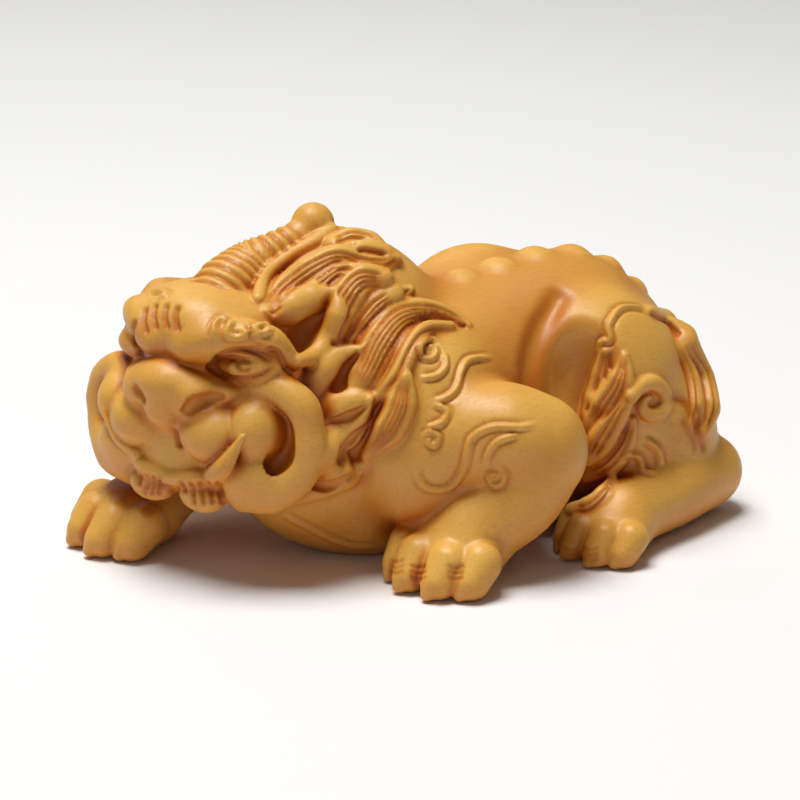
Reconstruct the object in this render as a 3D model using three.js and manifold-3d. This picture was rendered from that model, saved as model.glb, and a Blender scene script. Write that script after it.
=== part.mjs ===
// A crouching pixiu carved from one piece of boxwood: low turned head, one ringed horn that ends in a
// ball, a mane of locks and a flame-edged ruff, four clawed paws and a tail laid over the near haunch.
// Millimetres. The animal faces -X, its left side is towards -Y and +Z is up.
// The carving is one body of rounded masses that run into one another, so it is worked out as one
// field: at every point the distance to the nearest mass, with a soft join where two masses meet.
import * as THREE from "three";
import { SimplifyModifier } from "three/addons/modifiers/SimplifyModifier.js";
import { mergeVertices } from "three/addons/utils/BufferGeometryUtils.js";
import Module from "manifold-3d";

// Driving sizes, mm
const EYE_MIDDLE = [-35.3, 4.0, 32.4]; // point between the eyes, the origin of the head
const HEAD_TURN = 25; // degrees the face is turned from -X towards the animal's left
const KNOB = 3.3; // radius of the ball at the end of the horn
const TOE = 3.1; // radius of a toe
const BACK_HEIGHT = 39.5; // height of the spine over the hips
const FAR_CHEEK_DROP = 1.8; // how much lower the far cheek starts than the near one
const FAR_EYE_SHARE = 0.84; // how far out the far eye is, against the near one
const STAND = [0.79, 1.14]; // x and y of the middle of the ground that the figure covers

// How finely the field is measured and what is kept of it
const CELL = 0.6; // mm between measured points
const LOW = [-54, -32, -4];
const HIGH = [56, 34, 56];
const BAND = 5; // mm: the field is true up to this distance from the surface
const TRIANGLES = 9700; // faces kept on the finished body
const TOUCH = 0.02; // mm that two stretches of skin are drawn apart where they would touch

// The sight lines of the photograph: where it was taken from and how its pixels spread
const AIM = [-1.93, 1.12, 21.2]; // mm, the point at the middle of the photograph
const DISTANCE = 430; // mm from the lens to that point
const AZIMUTH = -30; // degrees
const ELEVATION = 18; // degrees
const FOCAL = 2889; // pixels
const MIDDLE = 400; // pixels, half the photograph's side

const radians = THREE.MathUtils.degToRad;
const sinA = Math.sin(radians(AZIMUTH));
const cosA = Math.cos(radians(AZIMUTH));
const sinE = Math.sin(radians(ELEVATION));
const cosE = Math.cos(radians(ELEVATION));
const RIGHT = [cosA, sinA, 0];
const UP = [-sinA * sinE, cosA * sinE, cosE];
const AHEAD = [-sinA * cosE, cosA * cosE, -sinE];

const add = (a, b, s = 1) => [a[0] + b[0] * s, a[1] + b[1] * s, a[2] + b[2] * s];
const size = LOW.map((low, i) => Math.round((HIGH[i] - low) / CELL) + 1);
const field = new Float32Array(size[0] * size[1] * size[2]).fill(BAND);

// The point that shows at a pixel of the photograph, a depth in mm behind the plane through AIM.
function at(across, down, depth) {
  const spread = (DISTANCE + depth) / FOCAL;
  const side = add(AIM, RIGHT, (across - MIDDLE) * spread);
  return add(add(side, UP, (MIDDLE - down) * spread), AHEAD, depth);
}

// A point of the head from mm ahead of, left of and above the middle of the eyes.
function head(ahead, left, above) {
  const c = Math.cos(radians(HEAD_TURN));
  const s = Math.sin(radians(HEAD_TURN));
  return [
    EYE_MIDDLE[0] - c * ahead + s * left,
    EYE_MIDDLE[1] - s * ahead - c * left,
    EYE_MIDDLE[2] + above,
  ];
}

// Lower of two distances, with the corner between them rounded over a width of soft mm.
function blend(a, b, soft) {
  const h = Math.max(soft - Math.abs(a - b), 0) / Math.max(soft, 1e-6);
  return Math.min(a, b) - (h * h * soft) / 4;
}

// Measures a form at each grid point of its box and lets change(old, distance) set the field.
function measure(low, high, reach, distance, change) {
  const from = low.map((v, i) => Math.max(0, Math.floor((v - reach - LOW[i]) / CELL)));
  const to = high.map((v, i) => Math.min(size[i] - 1, Math.ceil((v + reach - LOW[i]) / CELL)));
  for (let k = from[2]; k <= to[2]; k++)
    for (let j = from[1]; j <= to[1]; j++)
      for (let i = from[0]; i <= to[0]; i++) {
        const n = i + size[0] * (j + size[1] * k);
        const d = distance(LOW[0] + i * CELL, LOW[1] + j * CELL, LOW[2] + k * CELL);
        field[n] = change(field[n], d);
      }
}

// Distance to an ellipsoid with its own axes turned by turn degrees about X, Y and Z.
function ellipsoid(centre, radii, turn) {
  const back = new THREE.Matrix4()
    .makeRotationFromEuler(new THREE.Euler(...turn.map(radians), "ZYX"))
    .transpose().elements;
  return (x, y, z) => {
    const dx = x - centre[0];
    const dy = y - centre[1];
    const dz = z - centre[2];
    const a = (back[0] * dx + back[4] * dy + back[8] * dz) / radii[0];
    const b = (back[1] * dx + back[5] * dy + back[9] * dz) / radii[1];
    const c = (back[2] * dx + back[6] * dy + back[10] * dz) / radii[2];
    const k0 = Math.hypot(a, b, c);
    const k1 = Math.hypot(a / radii[0], b / radii[1], c / radii[2]);
    return k1 > 0 ? (k0 * (k0 - 1)) / k1 : -Math.min(...radii);
  };
}

// Distance to a round limb that runs through points with a radius at each.
function limb(points, radii) {
  return (x, y, z) => {
    let best = Infinity;
    for (let i = 0; i + 1 < points.length; i++) {
      const a = points[i];
      const b = points[i + 1];
      const ux = b[0] - a[0];
      const uy = b[1] - a[1];
      const uz = b[2] - a[2];
      const dot = (x - a[0]) * ux + (y - a[1]) * uy + (z - a[2]) * uz;
      const t = Math.min(1, Math.max(0, dot / (ux * ux + uy * uy + uz * uz)));
      const d = Math.hypot(x - a[0] - ux * t, y - a[1] - uy * t, z - a[2] - uz * t);
      best = Math.min(best, d - radii[i] - (radii[i + 1] - radii[i]) * t);
    }
    return best;
  };
}

// Points and radii of a smooth run through a few given ones.
function smoothRun(points, radii, parts = 6) {
  const curve = new THREE.CatmullRomCurve3(points.map((p) => new THREE.Vector3(...p)));
  const count = (points.length - 1) * parts;
  const runPoints = [];
  const runRadii = [];
  for (let i = 0; i <= count; i++) {
    const t = (i / count) * (points.length - 1);
    const n = Math.min(Math.floor(t), points.length - 2);
    runPoints.push(curve.getPoint(i / count).toArray());
    runRadii.push(radii[n] + (radii[n + 1] - radii[n]) * (t - n));
  }
  return [runPoints, runRadii];
}

const lowest = (points, pad) => [0, 1, 2].map((i) => Math.min(...points.map((p) => p[i])) - pad);
const highest = (points, pad) => [0, 1, 2].map((i) => Math.max(...points.map((p) => p[i])) + pad);

// Joins an ellipsoid to the body.
function ball(centre, radii, turn, soft) {
  const most = Math.max(...radii);
  const join = (old, d) => blend(old, d, soft);
  measure(lowest([centre], most), highest([centre], most), BAND, ellipsoid(centre, radii, turn), join);
}

// Cuts an ellipsoid out of the body.
function hollow(centre, radii, turn, soft) {
  const most = Math.max(...radii);
  const cut = (old, d) => -blend(-old, d, soft);
  measure(lowest([centre], most), highest([centre], most), soft, ellipsoid(centre, radii, turn), cut);
}

// Joins a tapering limb to the body.
function tube(points, radii, soft) {
  const [p, r] = smoothRun(points, radii);
  const most = Math.max(...r);
  measure(lowest(p, most), highest(p, most), BAND, limb(p, r), (old, d) => blend(old, d, soft));
}

// Cuts a tapering groove into the body.
function groove(points, radii, soft) {
  const [p, r] = smoothRun(points, radii);
  const most = Math.max(...r);
  measure(lowest(p, most), highest(p, most), soft, limb(p, r), (old, d) => -blend(-old, d, soft));
}

// The field at any point, from the eight grid points round it.
function fieldAt(p) {
  const g = p.map((v, i) => Math.min(size[i] - 1.001, Math.max(0, (v - LOW[i]) / CELL)));
  const [i, j, k] = g.map(Math.floor);
  const [a, b, c] = [g[0] - i, g[1] - j, g[2] - k];
  let sum = 0;
  for (const [di, wi] of [[0, 1 - a], [1, a]])
    for (const [dj, wj] of [[0, 1 - b], [1, b]])
      for (const [dk, wk] of [[0, 1 - c], [1, c]])
        sum += wi * wj * wk * field[i + di + size[0] * (j + dj + size[1] * (k + dk))];
  return sum;
}

// Where a line from start meets the body, or comes nearest to it.
function meet(start, way) {
  let gone = 0;
  let nearest = [Infinity, 0];
  while (gone < 130 && nearest[0] > 0.02) {
    const d = fieldAt(add(start, way, gone));
    if (d < nearest[0]) nearest = [d, gone];
    gone += Math.max(0.05, d * 0.7);
  }
  return add(start, way, nearest[1]);
}

// The point of the body that shows at a pixel of the photograph. With a plane given, the point that
// would show there if the photograph were taken from the mirrored place across y = plane.
function seen(across, down, plane) {
  const flip = ([x, y, z]) => (plane === undefined ? [x, y, z] : [x, 2 * plane - y, z]);
  const start = flip(at(across, down, -60));
  return meet(start, add(flip(at(across, down, 60)), start, -1).map((v) => v / 120));
}

// The direction out of the body at a point.
function outward(p) {
  const n = [0, 1, 2].map((i) => {
    const step = [0, 0, 0];
    step[i] = CELL;
    return fieldAt(add(p, step)) - fieldAt(add(p, step, -1));
  });
  const length = Math.hypot(...n) || 1;
  return n.map((v) => v / length);
}

// Joins a lock of hair that lies on the body through points, sunk by part of its radius.
function layLock(points, radii, sink, soft) {
  tube(points.map((p, i) => add(p, outward(p), -radii[i] * sink)), radii, soft);
}

// A lock laid under a row of pixels of the photograph, and its twin on the far side of a plane.
function lock(pixels, radii, sink, soft, plane) {
  layLock(pixels.map(([across, down]) => seen(across, down)), radii, sink, soft);
  if (plane === undefined) return;
  layLock(pixels.map(([across, down]) => seen(across, down, plane)), radii, sink, soft);
}

// Cuts a tapering groove along the skin under a row of pixels.
const dent = (pixels, radii, soft) =>
  groove(pixels.map(([across, down]) => seen(across, down)), radii, soft);

// The trunk, with the belly flat on the ground, the hips and the neck.
function trunk() {
  ball([-9, 2, 19], [16, 15, 18], [0, 0, 0], 4);
  ball([8, 2, 22], [20, 16, 16], [0, 0, 0], 8);
  ball([26, 2, 24], [16.5, 14, BACK_HEIGHT - 24], [0, 8, 0], 8);
  ball([-13, 6, 31], [13, 13, 14], [0, 0, 0], 6);
  ball([-7, 6, 36.2], [10, 10, 9], [0, 0, 0], 5);
  ball([-6, 3, 6], [14, 11, 7], [0, 0, 0], 6);
  ball([12, 2, 7], [24, 13, 9], [0, 0, 0], 6);
  ball([35.5, 1, 17], [9.5, 12, 14], [0, 0, 0], 6);
  ball([-19, 3, 13], [9, 11, 9], [0, 0, 0], 5);
}

// The hind legs: thigh, calf, heel and shank on each side.
function hindLegs() {
  ball([27, -9, 21], [13, 11, 15], [0, 0, 0], 4);
  ball([33, -13, 13], [10, 7, 9.5], [0, 0, 0], 4);
  ball([38, -10, 12], [8, 8, 11], [0, 0, 0], 4);
  tube([[44, -13, 6.4], [34, -17, 6], [24, -20.5, 5.5]], [5.8, 5.8, 5.2], 1.6);
  ball([17, 12, 26], [14, 10, 14], [0, 0, 0], 3);
  ball([33, 13, 16], [11, 9, 13], [0, 0, 0], 4);
  tube([[42, 15, 7], [33, 20, 6], [22, 23, 5.5]], [5.2, 5.8, 5.2], 1.6);
}

// The forelegs: shoulder, elbow, forearm. The right one steps forward.
function forelegs() {
  ball([-4, -9, 22], [11, 9, 12], [0, 0, 0], 5);
  ball([-3, -12.5, 16.5], [11.5, 8, 11], [0, 0, 0], 3);
  tube([[-1, -14, 20], [4, -19, 20], [8, -20.8, 19]], [8.5, 8.2, 7.4], 1.5);
  tube([[8, -20.8, 17], [4.4, -21, 12], [-2, -20, 7.5]], [7.2, 6.8, 6], 1.5);
  ball([-9, 13, 24], [12, 9, 14], [0, 0, 0], 4);
  tube([[-9, 17, 20], [-12, 22, 17], [-14, 23, 14]], [8.5, 7.5, 7], 3);
  tube([[-14, 23, 14], [-24, 22, 10], [-32, 19.5, 7.5]], [7, 6.3, 5.6], 3);
}

// A paw: the pad with four rounded toes and their claws, turned by turn degrees from -X to the left.
function paw(centre, turn, scale) {
  const c = Math.cos(radians(turn));
  const s = Math.sin(radians(turn));
  const place = (ahead, left, above) => [
    centre[0] + (-c * ahead + s * left) * scale,
    centre[1] + (-s * ahead - c * left) * scale,
    centre[2] + above * scale,
  ];
  ball(place(-1, 0, 4.5), [6.5 * scale, 7.2 * scale, 5 * scale], [0, 0, turn], 2.5);
  for (const [ahead, left] of [[1.8, -6.2], [4.4, -2.5], [4.4, 2.5], [1.8, 6.2]]) {
    const knuckle = place(ahead - 0.5, left, 4.8);
    const tip = place(ahead + 1.6, left, 2.6);
    tube([knuckle, tip], [TOE * scale, TOE * scale * 0.86], 0.7);
    const claw = [place(ahead + 2.8, left - 0.4, 2.6), place(ahead + 3.6, left - 0.5, 1.2)];
    tube(claw, [1.3 * scale, scale], 0.6);
  }
}

const FACE = [0, 0, HEAD_TURN]; // the turn of a form that looks the way the face does

// The skull, before the hair is laid over it.
function skull() {
  ball(head(-9, 0, -4), [12, 14, 13], FACE, 4);
  ball(head(-3.5, 0, 3.2), [8.5, 11.5, 7], FACE, 3);
  ball(head(-3.5, 0, -8), [6, 15, 8], FACE, 3);
  ball(head(0.6, 0.6, 5.2), [4.2, 6.6, 4], FACE, 2.5);
}

// The points of a form on one side of the head, left for side 1 and right for side -1.
const onSide = (points, side) => points.map(([ahead, left, above]) => head(ahead, left * side, above));

// A long eye under a heavy brow that comes down to the nose. The far one is set a little closer.
function eyes(side) {
  const out = side > 0 ? side : -FAR_EYE_SHARE;
  hollow(head(2, 9.6 * out, 0.3), [1.5, 5, 2.1], FACE, 0.4);
  ball(head(-1.7, 9.6 * out, 0.1), [3.5, 5.6, 2.8], FACE, 0.2);
  const brow = [[4.2, 3.2, 2.8], [3.2, 6.2, 4.4], [0.8, 10, 5.2], [-2.2, 13.6, 4.4], [-4.6, 16, 0.6]];
  tube(onSide(brow, out), [1.5, 1.9, 2, 1.7, 0.9], 2.2);
  ball(head(1.2, 7 * side, -3.8), [2.4, 3.2, 1.9], FACE, 1.2);
}

// The cheek: a roll that curves from under the eye round the deep corner of the mouth to the jaw.
function cheek(side) {
  const low = side > 0 ? 0 : FAR_CHEEK_DROP;
  const deep = side > 0 ? 1 : 0.45;
  ball(head(-1.6, 10.5 * side, -15), [6, 6.4, 5], FACE, 2);
  const upper = [[-1, 9.8, -3.4 - low], [-2, 14, -2.8 - low], [-3.2, 17.8, -5.4 - low], [-3.4, 18.6, -10.4]];
  tube(onSide(upper, side), [1.8, 2.4, 2.7, 2.7], 0.5);
  const lower = [[-3.4, 18.6, -10.4], [-2.6, 17.8, -14.5], [-0.8, 14.6, -17.8], [0.6, 10.4, -19]];
  tube(onSide(lower, side), [2.7, 2.9, 3.1, 2.3], 1.2);
  const corner = [[-0.4, 14, -5.8 - low], [-0.2, 15.8, -8], [-0.4, 16, -11.6], [0.6, 14, -15.2]];
  groove(onSide(corner, side), [1.3, 2.3, 2.4, 1.2].map((r) => r * deep), 0.4);
}

// The broad pug nose with its two wings and the cuts of the nostrils.
function nose() {
  ball(head(3.4, 0, -2.4), [5.4, 5.6, 3.7], FACE, 0.4);
  ball(head(4.2, 0, -5.4), [4.2, 3.7, 4.2], FACE, 1.6);
  for (const side of [1, -1]) ball(head(3.7, 4.6 * side, -4), [3.8, 3.3, 3.2], FACE, 1.4);
  dent([[185, 413], [196, 406], [210, 401], [222, 397]], [0.8, 1.5, 1.3, 0.5], 0.3);
  dent([[137, 391], [141, 397]], [0.9, 1], 0.6);
}

// The hanging upper lips, the lower lip with its two fangs and the two chin tufts.
function muzzle() {
  ball(head(-1, 0, -14), [6.2, 11, 7], FACE, 3);
  ball(head(-1, 0, -9.5), [5.6, 6, 5], FACE, 2);
  const lip = [[1.4, -9.4, -14.8], [4.2, -5, -16], [4.6, 0, -16.8], [4.2, 5, -16], [1.4, 9.4, -14.8]];
  tube(onSide(lip, 1), [1.1, 1.5, 1.3, 1.5, 1.1], 0.5);
  for (const side of [1, -1]) {
    ball(head(-0.6, 12 * side, -8.6), [5, 4, 4.7], FACE, 1.2);
    ball(head(1.8, 6.4 * side, -9.6), [5.3, 5.4, 4.6], FACE, 0.6);
    ball(head(3, 4.6 * side, -19.2), [2.4, 3.9, 2.6], FACE, 0.6);
    ball(head(0.8, 10.2 * side, -18), [2.6, 3.6, 2.2], FACE, 0.6);
  }
  tube(onSide([[4.2, 8.2, -15], [5.2, 10.4, -13], [4.4, 13.2, -8.4]], 1), [1.8, 1.5, 0.4], 0.2);
  tube(onSide([[4.4, 6.2, -14.4], [4.6, 9.6, -12.6], [4, 13.2, -8.6]], -1), [1.2, 1, 0.4], 0.2);
  nose();
}

// The whole face.
function face() {
  for (const side of [1, -1]) {
    cheek(side);
    eyes(side);
  }
  muzzle();
}

// The horn along the neck, its smooth edge band and the ball at its end.
function horn() {
  const path = [head(-3.5, 0.8, 4.6), head(-8.6, 0.8, 7.7), head(-14, 1, 9.8), [-19, 8.6, 44.2], [-12.5, 9.4, 46.6]];
  tube(path, [4.6, 5.3, 4.5, 3.3, 2.4], 0.5);
  ball([-11.8, 9.6, 47.6], [KNOB, KNOB, KNOB], [0, 0, 0], 0.8);
  lock([[258, 300], [265, 277], [290, 257], [312, 245], [330, 232]], [1.1, 1.3, 1.4, 1.5, 1.4], 0, 0.4);
}

// The near ear lies back as a pointed leaf with a hollow along it, the far one like it.
function ears() {
  lock([[276, 318], [292, 308], [312, 301], [334, 289]], [1.4, 2.5, 2.5, 0.6], 0.1, 0.4);
  lock([[299, 361], [314, 354], [328, 338], [337, 316], [338, 292]], [0.9, 1.5, 1.9, 1.9, 0.8], 0.2, 0.4);
  dent([[298, 352], [300, 338], [309, 326], [324, 314]], [1.2, 1.9, 1.5, 0.5], 0.4);
  tube([head(-6, -13, 1.5), head(-12, -14.5, 3.5), head(-18, -14, 4.5)], [2.4, 3, 0.7], 1);
}

// The mane: locks swept back from the brow over the neck and down to the shoulder.
function mane() {
  const plane = 6;
  lock([[336, 244], [352, 240], [368, 242], [384, 250]], [2.2, 3, 2.8, 1.4], 0.4, 0.5);
  lock([[340, 256], [362, 250], [384, 254], [399, 262]], [1.4, 1.8, 1.8, 0.8], 0.2, 0.4, plane);
  const swept = [[268, 312], [284, 292], [310, 273], [336, 259], [358, 262], [382, 264], [398, 258]];
  lock(swept, [1.4, 2.6, 3, 2.2, 1.7, 1.5, 0.7], 0.25, 0.4, plane);
  const under = [[284, 312], [302, 296], [324, 284], [340, 272], [360, 270], [386, 271]];
  lock(under, [1, 1.6, 1.8, 1.5, 1.3, 0.8], 0.1, 0.4, plane);
  const curl = [[372, 276], [384, 280], [392, 290], [402, 294], [411, 289]];
  lock(curl, [1.6, 1.6, 1.4, 1.1, 0.6], 0.1, 0.35, plane);
  const behindEar = [[384, 280], [362, 280], [348, 296], [342, 318], [334, 346]];
  lock(behindEar, [1.6, 2.8, 2.9, 2.1, 0.7], 0.2, 0.4, plane);
  lock([[392, 296], [378, 306], [364, 322], [352, 340]], [1.8, 2.2, 1.8, 0.7], 0.1, 0.4, plane);
  const shoulder = [[346, 402], [366, 374], [382, 342], [402, 318], [428, 312], [450, 317], [468, 325]];
  lock(shoulder, [1.6, 3, 3.4, 3, 2.2, 1.5, 0.6], 0.2, 0.4, plane);
  const shoulderEdge = [[372, 402], [396, 378], [410, 350], [424, 332], [450, 327]];
  lock(shoulderEdge, [0.9, 1.5, 1.6, 1.4, 0.8], -0.2, 0.35, plane);
  lock([[405, 378], [401, 404], [390, 428], [366, 456]], [1.2, 2.5, 2.5, 0.9], 0.1, 0.4, plane);
}

// The ruff behind the cheeks: broad flames with pointed tips and deep notches between them.
function ruff() {
  const plane = 5;
  lock([[306, 392], [322, 370], [340, 356], [362, 348]], [3, 3, 1.9, 0.4], 0.1, 0.4, plane);
  lock([[318, 425], [338, 410], [355, 402], [373, 396]], [3.2, 3.2, 2, 0.5], 0.1, 0.4, plane);
  lock([[330, 440], [348, 432], [360, 418], [370, 400]], [2.6, 2.4, 1.8, 0.6], 0.1, 0.4, plane);
  lock([[295, 488], [320, 480], [344, 474], [366, 464]], [2.6, 3, 2.4, 0.5], 0.1, 0.4, plane);
  lock([[320, 452], [332, 462], [344, 474]], [3, 2.8, 1.6], 0.1, 0.4, plane);
  dent([[339, 387], [343, 374], [357, 355]], [1.3, 1, 0.4], 0.3);
  dent([[330, 422], [349, 417], [366, 407]], [0.5, 0.9, 0.4], 0.3);
  dent([[343, 457], [347, 447], [358, 433], [371, 421]], [1.3, 1, 0.6, 0.3], 0.3);
  dent([[310, 483], [331, 487], [347, 480], [362, 470]], [0.8, 1, 0.8, 0.3], 0.3);
}

// The knobs of the spine from the mane to the root of the tail.
function spine() {
  for (const [x, r] of [[9.5, 3.4], [16, 3.6], [22.5, 3.6], [29, 3.4], [35, 3], [40, 2.6]]) {
    const top = meet([x, 2.5, 58], [0, 0, -1]);
    ball(add(top, [0, 0, -r * 0.72]), [r, r * 1.15, r], [0, 0, 0], 0.8);
  }
}

// The tail laid over the near haunch: two leaves at its root and a body of locks that hangs behind.
function tail() {
  lock([[650, 312], [666, 322], [684, 339]], [1.4, 2.6, 0.8], 0.35, 0.4);
  lock([[668, 322], [684, 340], [699, 359]], [1.4, 2.6, 0.9], 0.55, 0.4);
  lock([[686, 346], [702, 375], [708, 405], [703, 432]], [2.2, 3.2, 3.2, 1.4], 0.45, 0.6);
  lock([[680, 350], [692, 378], [695, 405], [690, 425]], [1.6, 2.2, 2, 1], 0.5, 0.5);
}

// Tufts on the hind leg: a tall knee tuft, two ribbons that end in a ring curl and a lower flame.
function tufts() {
  const plane = 2;
  dent([[558, 298], [541, 330], [531, 362], [529, 386]], [0.2, 0.5, 0.5, 0.2], 3);
  lock([[606, 352], [604, 376], [598, 398], [588, 414]], [1.2, 2.4, 2.6, 1.4], 0.25, 0.4, plane);
  lock([[625, 356], [620, 382], [607, 404], [592, 424]], [0.7, 2.2, 2.6, 1.6], 0.15, 0.4, plane);
  lock([[634, 390], [618, 414], [602, 440], [590, 458]], [0.9, 1.8, 2.2, 1.4], 0.1, 0.4, plane);
  lock([[632, 420], [624, 444], [608, 464], [588, 476]], [0.9, 1.8, 2.2, 1.2], 0.1, 0.4, plane);
  const ring = [[631, 396], [640, 386], [652, 383], [663, 392], [664, 405], [655, 414], [644, 412]];
  lock(ring, [1.1, 1.2, 1.3, 1.3, 1.3, 1.2, 1.1], 0, 0.3, plane);
  lock([[572, 509], [588, 507], [603, 495], [614, 476]], [1.2, 1.9, 1.7, 0.5], 0.2, 0.4, plane);
}

// Fills the pockets that the open air round the body doesn't reach, so that the wood is solid inside.
function fillPockets() {
  const steps = [1, size[0], size[0] * size[1]].flatMap((step) => [step, -step]);
  const open = new Uint8Array(field.length);
  const front = [field.length - 1];
  open[front[0]] = 1;
  while (front.length) {
    const n = front.pop();
    for (const step of steps) {
      const next = n + step;
      if (next < 0 || next >= field.length || open[next] || field[next] < 0) continue;
      open[next] = 1;
      front.push(next);
    }
  }
  for (let n = 0; n < field.length; n++) if (!open[n] && field[n] >= 0) field[n] = -CELL;
}

// The faces of the body from the field: each cell of the grid is cut into six tetrahedra.
function skin() {
  const corner = [0, 1, 2, 3, 4, 5, 6, 7].map((n) => [n & 1, (n >> 1) & 1, n >> 2]);
  const tetra = [[0, 1, 3, 7], [0, 3, 2, 7], [0, 2, 6, 7], [0, 6, 4, 7], [0, 4, 5, 7], [0, 5, 1, 7]];
  const total = field.length;
  const made = new Int32Array(total * 8).fill(-1);
  const points = [];
  const faces = [];
  const spot = (n) => {
    const row = Math.floor(n / size[0]);
    return [n % size[0], row % size[1], Math.floor(row / size[1])];
  };
  const cut = (a, b) => {
    const [lo, hi] = a < b ? [a, b] : [b, a];
    const p = spot(lo);
    const q = spot(hi);
    const way = q[0] - p[0] + 2 * (q[1] - p[1]) + 4 * (q[2] - p[2]);
    const key = lo * 8 + way;
    if (made[key] < 0) {
      const share = field[lo] / (field[lo] - field[hi]);
      const t = Math.min(0.93, Math.max(0.07, share));
      made[key] = points.length / 3;
      for (let i = 0; i < 3; i++) points.push(LOW[i] + CELL * (p[i] + (q[i] - p[i]) * t));
    }
    return made[key];
  };
  for (let k = 0; k + 1 < size[2]; k++)
    for (let j = 0; j + 1 < size[1]; j++)
      for (let i = 0; i + 1 < size[0]; i++) {
        const base = corner.map(([a, b, c]) => i + a + size[0] * (j + b + size[1] * (k + c)));
        const inside = base.map((n) => field[n] < 0);
        if (inside.every((v) => v === inside[0])) continue;
        for (const t of tetra) {
          const deep = t.filter((c) => inside[c]).map((c) => base[c]);
          const out = t.filter((c) => !inside[c]).map((c) => base[c]);
          if (deep.length === 1) faces.push(out.map((o) => cut(deep[0], o)));
          if (deep.length === 3) faces.push(deep.map((d) => cut(d, out[0])));
          if (deep.length === 2) {
            const quad = [[0, 0], [0, 1], [1, 1], [1, 0]].map(([a, b]) => cut(deep[a], out[b]));
            faces.push([quad[0], quad[1], quad[2]], [quad[0], quad[2], quad[3]]);
          }
          const from = deep.length ? spot(deep[0]) : null;
          const news = deep.length === 2 ? 2 : deep.length % 4 ? 1 : 0;
          for (const face of faces.slice(faces.length - news)) turnOut(face, points, from);
        }
      }
  const geometry = new THREE.BufferGeometry();
  geometry.setAttribute("position", new THREE.BufferAttribute(new Float32Array(points), 3));
  geometry.setIndex(new THREE.BufferAttribute(new Uint32Array(faces.flat()), 1));
  return geometry;
}

// Turns a face round where it looks towards the grid point that lies inside the body.
function turnOut(face, points, from) {
  const [a, b, c] = face.map((n) => new THREE.Vector3(...points.slice(3 * n, 3 * n + 3)));
  const inner = new THREE.Vector3(...from.map((v, i) => LOW[i] + v * CELL));
  const normal = b.clone().sub(a).cross(c.clone().sub(a));
  if (normal.dot(inner.sub(a)) > 0) [face[1], face[2]] = [face[2], face[1]];
}

trunk();
hindLegs();
forelegs();
hollow([18.5, -17, 27], [5, 5, 10], [0, 0, 0], 2.5);
paw([-5.6, -19.8, 0], 22, 1.02);
paw([-38.5, 18, 0], 5, 1.05);
paw([20.4, -21.6, 0], 18, 0.84);
paw([18, 23, 0], -5, 0.95);
skull();
mane();
ruff();
face();
horn();
ears();
spine();
tail();
tufts();

// Draws in the points where two stretches of skin only touch, so that each stretch closes by itself.
function drawIn(geometry) {
  geometry.computeVertexNormals();
  const position = geometry.getAttribute("position");
  const normal = geometry.getAttribute("normal");
  const met = new Map();
  for (let n = 0; n < position.count; n++) {
    const key = [position.getX(n), position.getY(n), position.getZ(n)].map((v) => v.toFixed(3)).join();
    met.set(key, [...(met.get(key) ?? []), n]);
  }
  for (const touching of [...met.values()].filter((list) => list.length > 1))
    for (const n of touching) {
      const p = new THREE.Vector3().fromBufferAttribute(position, n);
      p.addScaledVector(new THREE.Vector3().fromBufferAttribute(normal, n), -TOUCH);
      position.setXYZ(n, p.x, p.y, p.z);
    }
  geometry.deleteAttribute("normal");
}

// Faces are merged down to the number kept, then the soles are cut flat at the ground.
async function carve() {
  fillPockets();
  const full = skin();
  const spare = Math.round(full.getAttribute("position").count - TRIANGLES / 2);
  const simple = await new SimplifyModifier().modify(full, spare);
  const wasm = await Module();
  wasm.setup();
  const solid = (geometry) =>
    new wasm.Manifold(
      new wasm.Mesh({
        numProp: 3,
        vertProperties: geometry.getAttribute("position").array,
        triVerts: new Uint32Array(geometry.index.array),
      }),
    );
  const slab = new THREE.BoxGeometry(200, 200, 20).translate(0, 0, -10);
  for (const name of ["normal", "uv"]) slab.deleteAttribute(name);
  const ground = mergeVertices(slab);
  const cut = solid(simple).subtract(solid(ground)).getMesh();
  const geometry = new THREE.BufferGeometry();
  geometry.setAttribute("position", new THREE.BufferAttribute(cut.vertProperties, 3));
  geometry.setIndex(new THREE.BufferAttribute(cut.triVerts, 1));
  drawIn(geometry);
  return geometry.translate(-STAND[0], -STAND[1], 0);
}

const wood = new THREE.MeshStandardMaterial({ color: 0xd9a55a, roughness: 0.5, metalness: 0 });
const pixiu = new THREE.Mesh(await carve(), wood);
pixiu.name = "pixiu";
const group = new THREE.Group();
group.add(pixiu);

export default group;
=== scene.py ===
"""A crouching pixiu, a horned guardian beast, carved from one piece of boxwood.

The carving is worked out as a field, which at each point of a grid is the distance to the nearest
rounded mass, in millimetres. Its skin is then cut with the finer strokes: hair, horn rings, curls.
"""

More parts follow.
